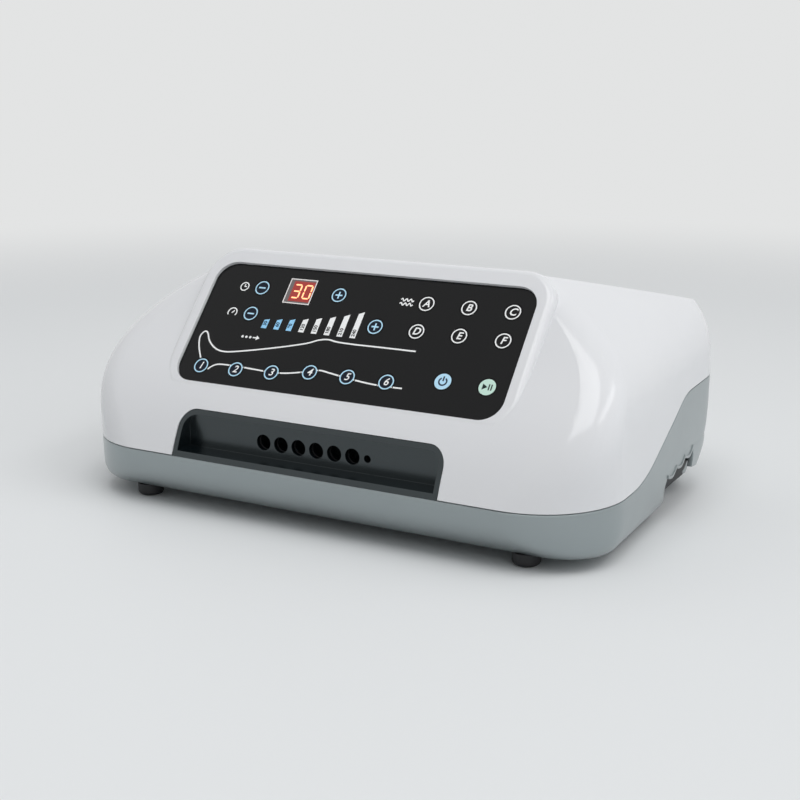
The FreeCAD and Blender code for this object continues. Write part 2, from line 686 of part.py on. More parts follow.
def port_seal(index):
    front = V(port_x(index), RECESS_WALL_Y + RECESS_PLATE, PORT_Z)
    return tube(PORT_RADIUS + SEAL_WIDTH, PORT_RADIUS, front, front + Y_AXIS * SEAL_DEPTH)


def make_air_tube(index):
    start = V(port_x(index), MANIFOLD_BACK_Y + 0.5, PORT_Z)
    end = V(valve_x(index), VALVE_FRONT_Y - 0.5, PORT_Z)
    points = [start, start + Y_AXIS * TUBE_RUN, end - Y_AXIS * TUBE_RUN, end]
    return bent_tube(points, TUBE_BEND, TUBE_RADIUS, BARB_RADIUS)


def make_valve_block():
    x0 = valve_x(0) - VALVE_MARGIN
    x1 = valve_x(PORT_COUNT - 1) + VALVE_MARGIN
    block = box(x0, x1, VALVE_FRONT_Y, VALVE_REAR_Y, VALVE_LOW_Z, VALVE_TOP_Z)
    for i in range(PORT_COUNT):
        front = V(valve_x(i), VALVE_FRONT_Y, PORT_Z)
        block = block.fuse(rod(BARB_RADIUS, front - Y_AXIS * BARB_LENGTH, front))
        block = block.cut(rod(AIR_BORE, front - Y_AXIS * (BARB_LENGTH + 1), V(valve_x(i), VALVE_Y, PORT_Z)))
        well = V(valve_x(i), VALVE_Y, VALVE_TOP_Z - WELL_DEPTH)
        block = block.cut(rod(PLUNGER_WELL, well, well + Z_AXIS * 40))
    rear = V(PUMP_X1 + PUMP_HEAD / 2, VALVE_REAR_Y, SUPPLY_Z)
    left = V(x0, VALVE_Y, SUPPLY_Z)
    block = block.fuse(rod(SUPPLY_BARB, rear, rear + Y_AXIS * BARB_LENGTH))
    block = block.fuse(rod(SUPPLY_BARB, left, left - X_AXIS * BARB_LENGTH))
    return block


def make_valve_coil(index):
    low = V(valve_x(index), VALVE_Y, VALVE_TOP_Z)
    high = V(valve_x(index), VALVE_Y, COIL_TOP_Z)
    flanges = [rod(COIL_RADIUS + 1, low, low + Z_AXIS * 2), rod(COIL_RADIUS + 1, high - Z_AXIS * 2, high)]
    coil = joined([rod(COIL_RADIUS, low, high)] + flanges)
    return coil.cut(rod(PLUNGER_WELL, low - Z_AXIS, high - Z_AXIS * 4))


def make_valve_plunger(index):
    low = V(valve_x(index), VALVE_Y, VALVE_TOP_Z - WELL_DEPTH + 0.2)
    return rod(PLUNGER_RADIUS, low, low + Z_AXIS * PLUNGER_LENGTH)


def make_supply_tubes():
    left_x = PUMP_X0 - PUMP_HEAD / 2
    right_x = PUMP_X1 + PUMP_HEAD / 2
    head_y = PUMP_AXIS_Y - PUMP_HEAD_HALF
    straight = tube(SUPPLY_TUBE, SUPPLY_BARB, V(right_x, VALVE_REAR_Y + 0.5, SUPPLY_Z),
                    V(right_x, head_y - 0.5, SUPPLY_Z))
    corner = V(left_x, VALVE_Y, SUPPLY_Z)
    block_end = V(valve_x(0) - VALVE_MARGIN - 0.5, VALVE_Y, SUPPLY_Z)
    points = [V(left_x, head_y - 0.5, SUPPLY_Z), corner, block_end]
    return [straight, bent_tube(points, SUPPLY_BEND, SUPPLY_TUBE, SUPPLY_BARB)]


export("outlet_manifold", make_outlet_manifold())
export("port_seals", *[port_seal(i) for i in range(PORT_COUNT)])
export("air_tubes", *[make_air_tube(i) for i in range(PORT_COUNT)])
export("valve_block", make_valve_block())
export("valve_coils", *[make_valve_coil(i) for i in range(PORT_COUNT)])
for valve_index in range(PORT_COUNT):
    export("valve_plunger_%d" % (valve_index + 1), make_valve_plunger(valve_index))
export("supply_tubes", *make_supply_tubes())


# ---------------------------------------------------------------- pump

def pump_end(side):
    """X of the body's end face on one side."""
    return PUMP_X0 if side < 0 else PUMP_X1


def make_pump_body():
    outer = rounded_box(PUMP_X0, PUMP_X1, PUMP_Y0, PUMP_Y1, PUMP_Z0, PUMP_Z1, 5)
    inner = rounded_box(PUMP_X0 + PUMP_WALL, PUMP_X1 - PUMP_WALL, PUMP_Y0 + PUMP_WALL, PUMP_Y1 - PUMP_WALL,
                        PUMP_Z0 + PUMP_WALL, PUMP_Z1 + 1, 2)
    shaft = rod(PUMP_ROD_RADIUS + 0.6, V(PUMP_X0 - 1, PUMP_AXIS_Y, PUMP_AXIS_Z),
                V(PUMP_X1 + 1, PUMP_AXIS_Y, PUMP_AXIS_Z))
    return outer.cut(inner).cut(shaft)


def make_pump_head(side):
    end = pump_end(side)
    far = end + side * PUMP_HEAD
    low = V(min(end, far), PUMP_AXIS_Y - PUMP_HEAD_HALF, PUMP_AXIS_Z - PUMP_HEAD_HALF)
    block = Part.makeBox(PUMP_HEAD, 2 * PUMP_HEAD_HALF, 2 * PUMP_HEAD_HALF, low)
    middle_x = (end + far) / 2
    start = V(middle_x, low.y, SUPPLY_Z)
    block = block.fuse(rod(SUPPLY_BARB, start - Y_AXIS * BARB_LENGTH, start))
    centre = V(end, PUMP_AXIS_Y, PUMP_AXIS_Z)
    return block.cut(rod(PISTON_RADIUS + 2, centre, centre + X_AXIS * (side * (PUMP_HEAD - PUMP_WALL))))


def make_pump_armature():
    """Moving magnet bar, with a piston disc on each end."""
    half_x, half_y, half_z = MAGNET_HALF_SIZES
    parts = [box(PUMP_X - half_x, PUMP_X + half_x, PUMP_AXIS_Y - half_y, PUMP_AXIS_Y + half_y,
                 PUMP_AXIS_Z - half_z, PUMP_AXIS_Z + half_z)]
    for side in (-1, 1):
        root = V(PUMP_X + side * half_x, PUMP_AXIS_Y, PUMP_AXIS_Z)
        disc = V(pump_end(side) + side * 5, PUMP_AXIS_Y, PUMP_AXIS_Z)
        parts.append(rod(PUMP_ROD_RADIUS, root, disc))
        parts.append(rod(PISTON_RADIUS, disc, disc + X_AXIS * (side * 3)))
    return joined(parts)


def make_pump_coil(side):
    near = PUMP_AXIS_Y + side * 8
    wall = PUMP_Y0 + PUMP_WALL if side < 0 else PUMP_Y1 - PUMP_WALL
    low = PUMP_Z0 + PUMP_WALL
    core = box(PUMP_X - 14, PUMP_X + 14, min(near, wall), max(near, wall), low, low + 42)
    winding_near = PUMP_AXIS_Y + side * 11
    winding_far = PUMP_AXIS_Y + side * 24
    winding = rounded_box(PUMP_X - 22, PUMP_X + 22, min(winding_near, winding_far),
                          max(winding_near, winding_far), low + 4, low + 38, 4)
    return joined([core, winding])


def make_pump_mount(place):
    x, y = place
    low = FLOOR_Z + WALL
    waist = (low + PUMP_Z0) / 2
    return joined([rod(MOUNT_WAIST_RADIUS, V(x, y, low), V(x, y, PUMP_Z0)),
                   rod(MOUNT_RADIUS, V(x, y, low), V(x, y, waist - 1.5)),
                   rod(MOUNT_RADIUS, V(x, y, waist + 1.5), V(x, y, PUMP_Z0))])


export("pump_body", make_pump_body())
export("pump_cover", rounded_box(PUMP_X0, PUMP_X1, PUMP_Y0, PUMP_Y1, PUMP_Z1, PUMP_Z1 + PUMP_COVER, 5))
export("pump_heads", make_pump_head(-1), make_pump_head(1))
export("pump_armature", make_pump_armature())
export("pump_coils", make_pump_coil(-1), make_pump_coil(1))
export("pump_mounts", *[make_pump_mount(place) for place in MOUNT_PLACES])


# ---------------------------------------------------------------- mains side

def make_power_board():
    x0, x1, y0, y1 = POWER_BOARD
    board = rounded_box(x0, x1, y0, y1, BOARD_Z, BOARD_Z + BOARD_THICKNESS, 2)
    for x, y in BOARD_POSTS:
        board = board.cut(rod(1.6, V(x, y, BOARD_Z - 1), V(x, y, BOARD_Z + 3)))
    return board


def make_transformer():
    low = BOARD_Z + BOARD_THICKNESS
    core = box(98, 134, 38, 66, low, low + 34)
    winding = rounded_box(102, 130, 32, 72, low + 7, low + 27, 4)
    return joined([core, winding])


def make_mains_inlet():
    """Recessed three-pin inlet: a flange outside the wall, and the body through it."""
    x, z, y = INLET_X, INLET_Z, REAR_FIELD_Y
    flange = prism([V(x - 15.5, y, z - 12), V(x + 15.5, y, z - 12), V(x + 15.5, y, z + 12),
                    V(x - 15.5, y, z + 12)], [2.5] * 4, Y_AXIS * 2)
    half_x = INLET_HALF_WIDTH - 0.2
    half_z = INLET_HALF_HEIGHT - 0.2
    body = box(x - half_x, x + half_x, y - INLET_DEPTH, y, z - half_z, z + half_z)
    socket = prism([V(x - 12, y - 15, z - 8), V(x + 12, y - 15, z - 8), V(x + 12, y - 15, z + 8),
                    V(x - 12, y - 15, z + 8)], [1.5, 1.5, 4.5, 4.5], Y_AXIS * 20)
    shell = joined([flange, body]).cut(socket)
    pins = []
    for dx, dz in ((-7, -2), (0, 2), (7, -2)):
        pins.append(box(x + dx - 1, x + dx + 1, y - 16, y - 2, z + dz - 2, z + dz + 2))
    return joined([shell] + pins)


def make_rocker_frame():
    x, z, y = ROCKER_X, INLET_Z, REAR_FIELD_Y
    flange = prism([V(x - 7.7, y, z - 10.7), V(x + 7.7, y, z - 10.7), V(x + 7.7, y, z + 10.7),
                    V(x - 7.7, y, z + 10.7)], [1.5] * 4, Y_AXIS * 1.5)
    half_x = ROCKER_HALF_WIDTH - 0.2
    half_z = ROCKER_HALF_HEIGHT - 0.2
    body = box(x - half_x, x + half_x, y - ROCKER_DEPTH, y, z - half_z, z + half_z)
    space = box(x - 5.2, x + 5.2, y - 14, y + 5, z - 8.2, z + 8.2)
    frame = joined([flange, body]).cut(space)
    return frame.cut(rod(1.4, ROCKER_PIVOT - X_AXIS * 6.1, ROCKER_PIVOT + X_AXIS * 6.1))


def make_power_rocker():
    profile = [(-4.5, -4.0), (6.8, -7.0), (5.8, 0.0), (6.8, 7.0), (-4.5, 4.0)]
    corners = [ROCKER_PIVOT + V(-4.9, y, z) for y, z in profile]
    rocker = prism(corners, [1.0, 0.5, 12.0, 0.5, 1.0], X_AXIS * 9.8)
    rocker = joined([rocker, rod(1.2, ROCKER_PIVOT - X_AXIS * 5.9, ROCKER_PIVOT + X_AXIS * 5.9)])
    return rocker.rotate(ROCKER_PIVOT, X_AXIS, ROCKER_REST_TILT)


def make_fan_frame():
    """Square frame with a round duct, and three spokes that carry the hub and its pin."""
    half = FAN_SIZE / 2
    corners = [V(FAN_X - half, FAN_FRONT_Y, FAN_Z - half), V(FAN_X + half, FAN_FRONT_Y, FAN_Z - half),
               V(FAN_X + half, FAN_FRONT_Y, FAN_Z + half), V(FAN_X - half, FAN_FRONT_Y, FAN_Z + half)]
    frame = prism(corners, [3] * 4, Y_AXIS * FAN_DEPTH)
    centre = V(FAN_X, FAN_FRONT_Y, FAN_Z)
    frame = frame.cut(rod(FAN_BORE, centre - Y_AXIS, centre + Y_AXIS * (FAN_DEPTH + 1)))
    spokes = []
    for i in range(3):
        spoke = box(FAN_X, FAN_X + FAN_BORE + 1, FAN_FRONT_Y, FAN_FRONT_Y + 1.8, FAN_Z - 1.5, FAN_Z + 1.5)
        spokes.append(spoke.rotate(centre, Y_AXIS, 90 + 120 * i))
    hub = rod(FAN_HUB, centre, centre + Y_AXIS * 1.8)
    pin = rod(1.5, centre, centre + Y_AXIS * 9)
    return joined([frame, hub, pin] + spokes)


def make_fan_rotor():
    centre = V(FAN_X, FAN_FRONT_Y, FAN_Z)
    hub = rod(FAN_HUB, centre + Y_AXIS * 2.4, centre + Y_AXIS * (FAN_DEPTH - 1.5))
    blades = []
    for i in range(FAN_BLADES):
        blade = box(FAN_X + FAN_HUB - 1, FAN_X + FAN_BORE - 1, FAN_FRONT_Y + 7.1, FAN_FRONT_Y + 8.3,
                    FAN_Z - 5.2, FAN_Z + 5.2)
        blade = blade.rotate(V(FAN_X, FAN_FRONT_Y + 7.7, FAN_Z), X_AXIS, 38)
        blades.append(blade.rotate(centre, Y_AXIS, 360.0 * i / FAN_BLADES))
    rotor = joined([hub] + blades)
    return rotor.cut(rod(1.9, centre, centre + Y_AXIS * 10))


def make_pressure_sensor():
    x0 = valve_x(PORT_COUNT - 1) + VALVE_MARGIN
    return box(x0, x0 + 9, VALVE_FRONT_Y + 4, VALVE_REAR_Y - 4, VALVE_LOW_Z + 1, VALVE_TOP_Z - 1)


export("power_board", make_power_board())
export("transformer", make_transformer())
export("mains_inlet", make_mains_inlet())
export("rocker_frame", make_rocker_frame())
export("power_rocker", make_power_rocker())
export("fan_frame", make_fan_frame())
export("fan_rotor", make_fan_rotor())
export("pressure_sensor", make_pressure_sensor())


# ---------------------------------------------------------------- feet and screws

def make_foot(x, y):
    """Rubber foot, rounded below, with a peg through the floor."""
    corners = [V(x, y, 0), V(x + FOOT_RADIUS, y, 0), V(x + FOOT_RADIUS, y, FLOOR_Z), V(x, y, FLOOR_Z)]
    pad = Part.Face(rounded_wire(corners, [0, 3.0, 0, 0])).revolve(V(x, y, 0), Z_AXIS, 360)
    return joined([pad, rod(FOOT_PEG, V(x, y, FLOOR_Z), V(x, y, FLOOR_Z + WALL + 2))])


def make_shell_screw(place):
    x, y = place
    head = rod(SCREW_HEAD_RADIUS, V(x, y, SCREW_SEAT_Z - 3), V(x, y, SCREW_SEAT_Z))
    return joined([head, rod(SCREW_RADIUS, V(x, y, SCREW_SEAT_Z), V(x, y, POST_JOINT_Z + 14))])


def make_board_screw(place):
    x, y = place
    top = BOARD_Z + BOARD_THICKNESS
    head = rod(2.8, V(x, y, top), V(x, y, top + 1.8))
    return joined([head, rod(BOARD_SCREW_RADIUS, V(x, y, FLOOR_Z + 6), V(x, y, top))])


feet = [make_foot(x, y) for x, y in foot_places()]
export("front_feet", *feet[:2])
export("rear_feet", *feet[2:])
export("shell_screws", *[make_shell_screw(place) for place in POST_PLACES])
export("board_screws", *[make_board_screw(place) for place in BOARD_POSTS])
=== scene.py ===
# %% [markdown]
# # A compression therapy pump
# The pump is a table-top box with a glossy white lid, a grey base, a black key panel on its
# sloping face, and a dark recess in front with six air outlets. Its solid pieces come ready
# made, at their real size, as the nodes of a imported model. This lesson gives them their
# finishes, prints the panel, and sets up a plain studio. Lengths are in metres, and the
# millimetre has a name, because a maker thinks in it.

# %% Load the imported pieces
import bpy
import json
import math
from mathutils import Matrix, Vector


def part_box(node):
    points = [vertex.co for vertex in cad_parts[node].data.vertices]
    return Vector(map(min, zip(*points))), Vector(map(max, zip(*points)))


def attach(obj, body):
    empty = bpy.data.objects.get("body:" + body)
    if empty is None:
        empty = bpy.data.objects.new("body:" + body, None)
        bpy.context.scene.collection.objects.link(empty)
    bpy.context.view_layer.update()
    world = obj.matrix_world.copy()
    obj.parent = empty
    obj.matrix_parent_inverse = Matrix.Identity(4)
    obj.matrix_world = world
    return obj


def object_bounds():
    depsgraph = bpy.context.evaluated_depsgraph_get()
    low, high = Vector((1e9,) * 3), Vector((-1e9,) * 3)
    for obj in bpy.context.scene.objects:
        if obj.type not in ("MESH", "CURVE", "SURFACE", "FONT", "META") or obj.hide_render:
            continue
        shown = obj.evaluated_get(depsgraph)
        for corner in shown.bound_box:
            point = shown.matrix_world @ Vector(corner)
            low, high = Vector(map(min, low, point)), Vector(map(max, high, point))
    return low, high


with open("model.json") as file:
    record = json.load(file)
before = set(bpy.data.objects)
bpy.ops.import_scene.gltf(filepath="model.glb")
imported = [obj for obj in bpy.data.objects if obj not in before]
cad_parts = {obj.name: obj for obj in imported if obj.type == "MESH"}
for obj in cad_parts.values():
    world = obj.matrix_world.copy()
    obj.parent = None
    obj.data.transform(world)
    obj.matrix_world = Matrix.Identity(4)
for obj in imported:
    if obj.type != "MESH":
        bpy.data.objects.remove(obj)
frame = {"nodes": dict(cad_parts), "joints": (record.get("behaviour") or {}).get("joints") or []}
nodes = frame["nodes"]
MM = 0.001
cad_low, cad_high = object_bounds()
print("pieces", len(nodes), "size", [round(v, 4) for v in cad_high - cad_low])

# %% [markdown]
# ## Materials as small recipes
# Every finish on the pump is a Principled shader with a little life in it: moulded plastic is
# never one flat value. A recipe makes the material, and helpers add one kind of variation
# each. Colours are written as they look on a screen, and `paint` turns them into the linear
# values that a shader works with.

# %% A finish and its colour
SCREEN_WHITE = 255
SCREEN_GAMMA = 2.2


def paint(red, green, blue):
    """Linear colour from the 0-255 values that a screen shows."""
    return tuple((v / SCREEN_WHITE) ** SCREEN_GAMMA for v in (red, green, blue)) + (1.0,)


def new_finish(name, colour, roughness, **sockets):
    """Principled material. Further sockets are given by name, with _ for a space."""
    finish = bpy.data.materials.new(name)
    finish.use_nodes = True
    shader = finish.node_tree.nodes["Principled BSDF"]
    shader.inputs["Base Color"].default_value = colour
    shader.inputs["Roughness"].default_value = roughness
    for socket, value in sockets.items():
        shader.inputs[socket.replace("_", " ")].default_value = value
    return finish


def wear(finish, *names):
    """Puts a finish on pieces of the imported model, whatever they had before."""
    for name in names:
        piece = nodes[name]
        if not piece.material_slots:
            piece.data.materials.append(finish)
        for slot in piece.material_slots:
            slot.material = finish


print("mid grey on a screen is", round(paint(128, 128, 128)[0], 3), "in a shader")

# %% [markdown]
# ## Variation over a surface
# On real mouldings the colour drifts a little, and the gloss changes where hands and moulds
# have polished it. Noise over the piece's own coordinates drives both, so nothing has to be
# unwrapped and the pattern keeps its real scale.

# %% Helpers for colour and gloss
def noise_of(finish, scale, detail=2.0):
    """Noise over the piece's own coordinates, scale being cells per metre."""
    tree = finish.node_tree
    place = tree.nodes.new("ShaderNodeTexCoord")
    noise = tree.nodes.new("ShaderNodeTexNoise")
    noise.inputs["Scale"].default_value = scale
    noise.inputs["Detail"].default_value = detail
    tree.links.new(place.outputs["Object"], noise.inputs["Vector"])
    return noise


def vary_colour(finish, other, scale):
    """Drifts the base colour a little towards another one."""
    tree = finish.node_tree
    shader = tree.nodes["Principled BSDF"]
    mix = tree.nodes.new("ShaderNodeMix")
    mix.data_type = "RGBA"
    mix.inputs["A"].default_value = shader.inputs["Base Color"].default_value
    mix.inputs["B"].default_value = other
    tree.links.new(noise_of(finish, scale).outputs["Fac"], mix.inputs["Factor"])
    tree.links.new(mix.outputs["Result"], shader.inputs["Base Color"])


def vary_roughness(finish, low, high, scale):
    """Handling and mould polish: the gloss drifts between two values."""
    tree = finish.node_tree
    span = tree.nodes.new("ShaderNodeMapRange")
    span.inputs["To Min"].default_value = low
    span.inputs["To Max"].default_value = high
    tree.links.new(noise_of(finish, scale, detail=4.0).outputs["Fac"], span.inputs["Value"])
    tree.links.new(span.outputs["Result"], tree.nodes["Principled BSDF"].inputs["Roughness"])


print("helpers", vary_colour.__name__, "and", vary_roughness.__name__)

# %% [markdown]
# ## Fine relief
# A mould leaves a fine relief on plastic: spark-eroded grain on a satin base, faint orange peel
# under a gloss. It is far too fine to model, so the same noise bends the normals through a Bump
# node, and each reflection breaks up a little. The helper can also round the normals at
# corners, where light catches an edge.

# %% Helper for relief
CORNER_SAMPLES = 6


def add_grain(finish, scale, depth, strength=1.0, edge=0.0):
    """Fine relief: spark-eroded grain on a base, or faint orange peel under a gloss.

    With an edge, corners and facets also catch the light as if rounded by that radius.
    """
    tree = finish.node_tree
    bump = tree.nodes.new("ShaderNodeBump")
    bump.inputs["Distance"].default_value = depth
    bump.inputs["Strength"].default_value = strength
    tree.links.new(noise_of(finish, scale).outputs["Fac"], bump.inputs["Height"])
    if edge:
        rounded = tree.nodes.new("ShaderNodeBevel")
        rounded.samples = CORNER_SAMPLES
        rounded.inputs["Radius"].default_value = edge
        tree.links.new(rounded.outputs["Normal"], bump.inputs["Normal"])
    tree.links.new(bump.outputs["Normal"], tree.nodes["Principled BSDF"].inputs["Normal"])


print("relief helper", add_grain.__name__, "takes", CORNER_SAMPLES, "samples at a corner")

# %% [markdown]
# ## The white lid
# The upper shell is injection-moulded ABS with a polished, slightly cool white. Real gloss
# mouldings have very faint orange peel, which breaks up the edge of each reflection. The
# gloss comes from a low roughness, so the lamps draw soft streaks on the curved flanks.

# %% Lid finish
def lid_finish():
    finish = new_finish("lid_gloss_white", paint(226, 227, 229), 0.14, IOR=1.5)
    vary_colour(finish, other=paint(222, 223, 226), scale=14)
    vary_roughness(finish, low=0.11, high=0.18, scale=30)
    add_grain(finish, scale=260, depth=0.02 * MM, strength=0.35, edge=0.3 * MM)
    return finish


lid_white = lid_finish()
wear(lid_white, "upper_shell")
print("lid", lid_white.name)

# %% [markdown]
# ## The grey base
# The lower shell is silver-grey with a touch of green. The sheen of its metallic paint mirrors
# the table as one wide soft band and turns dark where the base rolls under. A mix of metal and
# plain colour gives that, under a clear coat. The shader also rounds the normals over a small
# radius, so that the band flows over the moulding without a ripple from the mesh's facets.

# %% Base finish
SOFT_RADIUS = 2.0 * MM


def base_finish():
    finish = new_finish("base_silver_grey", paint(150, 159, 161), 0.3, Metallic=0.6,
                        Coat_Weight=0.6, Coat_Roughness=0.22, Coat_IOR=1.6)
    vary_colour(finish, other=paint(146, 155, 157), scale=20)
    vary_roughness(finish, low=0.3, high=0.38, scale=60)
    add_grain(finish, scale=600, depth=0.01 * MM, strength=0.1, edge=SOFT_RADIUS)
    return finish


base_grey = base_finish()
wear(base_grey, "lower_shell")
print("base", base_grey.name)

# %% [markdown]
# ## Dark mouldings, overlay and keys
# The recess and the vents are black ABS with a satin grain. Black plastic takes its greys from
# what it mirrors, so its own colour stays near black and the specular level carries the look.
# The overlay on the face is a glossy sheet of near-black polycarbonate, and the keys are small
# discs of the same sheet: they take the same finish, and only the printed rings set them apart.

# %% Dark finishes
def recess_finish():
    finish = new_finish("recess_satin_black", paint(12, 18, 21), 0.24, IOR=1.62,
                        Specular_IOR_Level=0.65, Specular_Tint=(0.86, 0.97, 1.0, 1.0))
    vary_roughness(finish, low=0.21, high=0.27, scale=40)
    add_grain(finish, scale=1500, depth=0.03 * MM, strength=0.4, edge=0.4 * MM)
    return finish


def vent_finish():
    finish = new_finish("vent_matt_black", paint(42, 44, 46), 0.5, IOR=1.5)
    vary_roughness(finish, low=0.45, high=0.58, scale=40)
    add_grain(finish, scale=1500, depth=0.04 * MM, strength=0.5)
    return finish


def overlay_finish():
    finish = new_finish("overlay_gloss_black", paint(24, 24, 25), 0.16, IOR=1.5,
                        Specular_IOR_Level=0.22)
    vary_roughness(finish, low=0.13, high=0.2, scale=25)
    add_grain(finish, scale=400, depth=0.01 * MM, strength=0.25)
    return finish


recess_black = recess_finish()
overlay_black = overlay_finish()
key_names = sorted(n for n in nodes if n.startswith("key_") and n != "key_frame")
wear(recess_black, "port_recess", "outlet_manifold", "mains_inlet", "rocker_frame", "power_rocker")
wear(vent_finish(), "side_vent_left", "side_vent_right", "fan_frame", "fan_rotor")
wear(overlay_black, "panel_overlay", *key_names)
print("keys", len(key_names))

# %% [markdown]
# ## Rubber, inner pieces and metal
# The feet and seals are soft black rubber, with a dusty, almost matt surface. What sits inside
# is seldom seen, but it shows through the outlets and the grilles, so each piece still gets
# the finish that such a piece has: green boards, natural nylon, silicone tube, bright steel.

# %% Recipes for rubber, metal and inner pieces
def rubber_finish():
    finish = new_finish("foot_rubber_black", paint(38, 38, 40), 0.62)
    vary_roughness(finish, low=0.55, high=0.72, scale=80)
    add_grain(finish, scale=900, depth=0.06 * MM, strength=0.5)
    return finish


def steel_finish(name, colour, roughness):
    finish = new_finish(name, colour, roughness, Metallic=1.0)
    vary_roughness(finish, roughness - 0.06, roughness + 0.08, scale=120)
    return finish


def inner_finish(name, colour, roughness):
    finish = new_finish(name, colour, roughness)
    vary_roughness(finish, roughness - 0.05, roughness + 0.07, scale=60)
    add_grain(finish, scale=700, depth=0.03 * MM, strength=0.4)
    return finish


plungers = sorted(n for n in nodes if n.startswith("valve_plunger"))
wear(rubber_finish(), "front_feet", "rear_feet", "port_seals", "pump_mounts")
wear(steel_finish("bright_steel", paint(190, 190, 192), 0.3),
     "shell_screws", "board_screws", *plungers)
wear(steel_finish("cast_aluminium", paint(172, 174, 178), 0.42),
     "pump_body", "pump_cover", "pump_heads")
wear(steel_finish("copper_winding", paint(150, 82, 48), 0.35), "valve_coils", "pump_coils")
wear(inner_finish("laminated_iron", paint(60, 60, 63), 0.5), "pump_armature", "transformer")
wear(inner_finish("board_green", paint(38, 92, 62), 0.4), "panel_board", "power_board")
wear(inner_finish("natural_nylon", paint(206, 204, 194), 0.5), "key_frame", "valve_block")
wear(inner_finish("milky_silicone", paint(212, 212, 206), 0.35), "air_tubes", "supply_tubes")
wear(inner_finish("black_phenolic", paint(36, 36, 38), 0.5),
     "tact_switches", "pressure_sensor", "display_module")
print("plungers", len(plungers))

# %% [markdown]
# ## A frame on the sloping face
# The print on the panel is laid out in the face's own directions: u to the right and v up the
# slope, from the middle of the overlay. The keys slide straight into the face, so a key's
# joint already holds the face's direction, and each joint's position is the key's centre.

# %% Directions of the face
joints = {j["child"]: j for j in frame["joints"]}
press = {name: joints[name + "_body"] for name in key_names}
OUT = -Vector(press["key_power"]["axis"]).normalized()
ACROSS = Vector((1, 0, 0))
UP = OUT.cross(ACROSS)
overlay_low, overlay_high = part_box("panel_overlay")
overlay_middle = (overlay_low + overlay_high) / 2
key_point = Vector(press["key_power"]["pos_m"])
FACE_MIDDLE = overlay_middle + OUT * (key_point - overlay_middle).dot(OUT)


def key_place(name):
    """A key's centre as u and v in millimetres from the middle of the overlay."""
    offset = Vector(press[name]["pos_m"]) - FACE_MIDDLE
    return offset.dot(ACROSS) / MM, offset.dot(UP) / MM


print("face normal", [round(v, 3) for v in OUT])
print("power key", [round(v, 1) for v in key_place("key_power")])

# %% [markdown]
# ## Outlines in drawing millimetres
# Rings and bars make up most of the print. Each is a closed loop of points in millimetres, so a
# sign is a short list of loops, which can be read and changed like a drawing. An arc is an open
# line, which a pen will follow.

# %% Outlines
def circle(radius, middle=(0, 0), steps=56):
    return [(middle[0] + radius * math.cos(2 * math.pi * i / steps),
             middle[1] + radius * math.sin(2 * math.pi * i / steps)) for i in range(steps)]


def bar(left, low, right, high):
    return [(left, low), (right, low), (right, high), (left, high)]


def arc_line(radius, start, end, steps=30):
    """Points along an arc between two angles in degrees."""
    turns = [math.radians(start + (end - start) * i / steps) for i in range(steps + 1)]
    return [(radius * math.cos(turn), radius * math.sin(turn)) for turn in turns]


print("a ring's outline has", len(circle(1)), "points")

# %% [markdown]
# ## Lines drawn with a pen
# The outline of the leg and the curves of the signs have an even width. A line is given by a
# few points, smoothed so that it passes through each of them, and then turned into a closed
# loop as wide as the pen. So a change of the drawing is a change of a few points.

# %% Pen lines
def smooth_line(points, steps=8):
    """Catmull-Rom curve through the points."""
    full = [points[0]] + list(points) + [points[-1]]
    line = []
    for a, b, c, d in zip(full, full[1:], full[2:], full[3:]):
        for i in range(steps):
            t = i / steps
            line.append(tuple(0.5 * (2 * b[k] + (c[k] - a[k]) * t
                                     + (2 * a[k] - 5 * b[k] + 4 * c[k] - d[k]) * t * t
                                     + (3 * b[k] - a[k] - 3 * c[k] + d[k]) * t ** 3)
                              for k in (0, 1)))
    line.append(tuple(points[-1]))
    return line


def stroke(line, width):
    """Closed outline of a line drawn with a pen of that width."""
    left, right = [], []
    for i, point in enumerate(line):
        before = Vector(line[max(i - 1, 0)])
        after = Vector(line[min(i + 1, len(line) - 1)])
        along = (after - before).normalized()
        side = Vector((-along.y, along.x)) * width / 2
        left.append(tuple(Vector(point) + side))
        right.append(tuple(Vector(point) - side))
    return left + right[::-1]


print("a straight pen line has", len(stroke([(0, 0), (1, 0)], width=1)), "corners")

# %% [markdown]
# ## Printing with filled curves
# A screen-printed mark is a very thin layer of ink with crisp edges. A flat filled curve gives
# exactly that. It becomes a mesh a twentieth of a millimetre thick that lies on the face and
# rides on the body that it is printed on.

# %% From a flat curve to ink on the face
INK = 0.05 * MM


def face_matrix(u, v, height):
    """Places drawing millimetres on the face, in metres."""
    origin = FACE_MIDDLE + ACROSS * u * MM + UP * v * MM + OUT * height
    turn = Matrix((ACROSS, UP, OUT)).transposed().to_4x4()
    return Matrix.Translation(origin) @ turn @ Matrix.Scale(MM, 4)


def printed(name, curve, place, finish, body, height):
    """Turns a flat curve or text into a mesh on the face, riding on a body."""
    curve.extrude = INK / MM / 2
    drawing = bpy.data.objects.new(name + "_drawing", curve)
    mesh = bpy.data.meshes.new_from_object(drawing)
    bpy.data.objects.remove(drawing)
    mesh.transform(face_matrix(place[0], place[1], height + INK / 2))
    mesh.materials.clear()
    mesh.materials.append(finish)
    mark = bpy.data.objects.new(name, mesh)
    bpy.context.scene.collection.objects.link(mark)
    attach(mark, body)
    return mark


print("ink is", round(INK / MM, 3), "mm thick")

# %% [markdown]
# ## Loops and lettering
# The print has two kinds of marks. Rings, bars and signs come from loops: each closed loop is
# an outline, and a loop inside another one is a hole. Numbers and letters come from Blender's
# own plain font, a little bolder by an offset, and slanted by a shear where a key asks for it.

# %% Marks from loops and from text
HOUSING = "housing"
PANEL_SLOT = "overlay_black"


